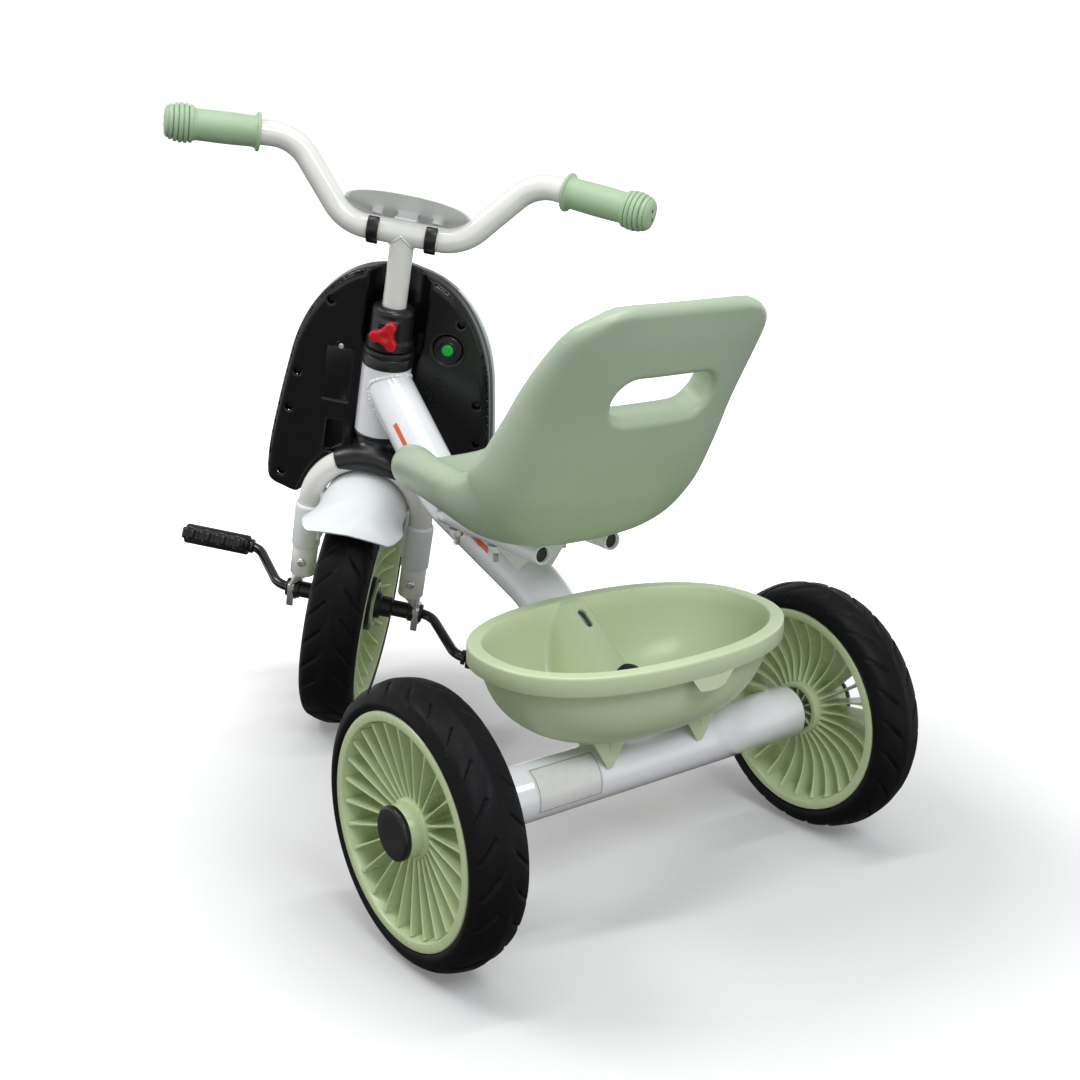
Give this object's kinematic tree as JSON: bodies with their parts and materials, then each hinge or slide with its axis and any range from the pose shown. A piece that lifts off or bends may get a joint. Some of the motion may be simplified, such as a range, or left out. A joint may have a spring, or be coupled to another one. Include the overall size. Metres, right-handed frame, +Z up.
{
  "type": "tricycle",
  "caption": "Small child's tricycle: front-wheel pedals, turning fork with a music shield, bucket seat with a handle slot, rear basket.",
  "frame": {"origin": "on the floor, under the middle of the whole tricycle as it stands with its steering turned", "axes": "+Z up, the rider looks towards -Y, +X is the rider's left"},
  "size_m": [0.449, 0.7019, 0.5924],
  "materials": {
    "white_paint": "gloss",
    "zinc": "satin",
    "white_plastic": "gloss",
    "seat_plastic": "satin",
    "basket_plastic": "satin",
    "rim_plastic": "satin",
    "grip_plastic": "matte",
    "black_plastic": "satin",
    "shield_black": "gloss",
    "trim_grey": "satin",
    "lamp": "gloss",
    "knob_red": "gloss",
    "button_green": "gloss",
    "tyre_black": "matte",
    "crank_black": "satin",
    "cell": "satin",
    "board": "matte"
  },
  "bodies": {
    "frame": {"head_tube": "white_paint", "main_tube": "white_paint", "rear_axle_tube": "white_paint", "seat_rails": "white_paint", "seat_gussets": "white_paint", "upper_head_bush": "black_plastic", "lower_head_bush": "black_plastic", "axle_tube_plugs": "black_plastic", "rear_axle_rod": "zinc", "rod_nuts": "zinc", "seat": "seat_plastic", "seat_bolts": "zinc", "basket": "basket_plastic", "basket_stud": "zinc"},
    "basket_knob": {"basket_knob": "black_plastic"},
    "fork": {"steerer_tube": "zinc", "fork_tube": "white_paint", "crown_cover": "black_plastic", "fender": "white_plastic", "leg_screws": "zinc", "axle_holders": "zinc", "axle_bushes": "black_plastic", "clamp_collar": "black_plastic", "shield_back": "shield_black", "shield_front": "white_plastic", "shield_trim": "trim_grey", "headlight_left": "lamp", "headlight_right": "lamp", "shield_screws": "zinc", "battery_door": "shield_black", "battery_door_screw": "zinc", "batteries": "cell", "music_board": "board", "speaker": "black_plastic", "button_bezel": "black_plastic"},
    "clamp_knob": {"clamp_knob": "knob_red", "clamp_screw": "zinc"},
    "music_button": {"music_button": "button_green"},
    "handlebar": {"handlebar_tube": "white_paint", "stem_tube": "white_paint", "grip_left": "grip_plastic", "grip_right": "grip_plastic", "dash_plate": "white_plastic", "bar_clips": "black_plastic"},
    "front_wheel": {"front_tyre": "tyre_black", "front_rim": "rim_plastic", "rim_flanges": "black_plastic", "crank": "crank_black"},
    "pedal_left": {"pedal_left": "black_plastic"},
    "pedal_right": {"pedal_right": "black_plastic"},
    "rear_wheel_left": {"rear_tyre_left": "tyre_black", "rear_rim_left": "rim_plastic", "hub_cap_left": "black_plastic"},
    "rear_wheel_right": {"rear_tyre_right": "tyre_black", "rear_rim_right": "rim_plastic", "hub_cap_right": "black_plastic"}
  },
  "joints": [
    {"name": "steering", "type": "hinge", "parent": "frame", "child": "fork", "pos_m": [0, -0.21515, 0], "axis": [0, 0.2402, 0.9707], "range_deg": [-2.4, 87.6]},
    {"name": "handlebar_height", "type": "slide", "parent": "fork", "child": "handlebar", "axis": [0, 0.2402, 0.9707], "range_m": [-0.015, 0.045]},
    {"name": "clamp_knob_turn", "type": "hinge", "parent": "fork", "child": "clamp_knob", "pos_m": [0.01591, -0.1001, 0.39287], "axis": [0.6769, 0.7145, -0.1768], "continuous": true},
    {"name": "music_button_press", "type": "slide", "parent": "fork", "child": "music_button", "axis": [0.6769, 0.7145, -0.1768], "range_m": [-0.0015, 0], "stiffness_N_per_m": 400},
    {"name": "front_wheel_spin", "type": "hinge", "parent": "fork", "child": "front_wheel", "pos_m": [0.01354, -0.17008, 0.12082], "axis": [0.7361, -0.6571, 0.1626], "continuous": true},
    {"name": "left_pedal_turn", "type": "hinge", "parent": "front_wheel", "child": "pedal_left", "pos_m": [0.09128, -0.30895, 0.16099], "axis": [0.7361, -0.6571, 0.1626], "continuous": true},
    {"name": "right_pedal_turn", "type": "hinge", "parent": "front_wheel", "child": "pedal_right", "pos_m": [-0.06421, -0.03122, 0.08064], "axis": [0.7361, -0.6571, 0.1626], "continuous": true},
    {"name": "left_rear_wheel_spin", "type": "hinge", "parent": "frame", "child": "rear_wheel_left", "pos_m": [0.1965, 0.24485, 0.106], "axis": [1, 0, 0], "continuous": true},
    {"name": "right_rear_wheel_spin", "type": "hinge", "parent": "frame", "child": "rear_wheel_right", "pos_m": [-0.1965, 0.24485, 0.106], "axis": [1, 0, 0], "continuous": true},
    {"name": "basket_knob_turn", "type": "hinge", "parent": "frame", "child": "basket_knob", "pos_m": [0, 0.20985, 0.14166], "axis": [0, 0.576, 0.8175], "continuous": true}
  ]
}
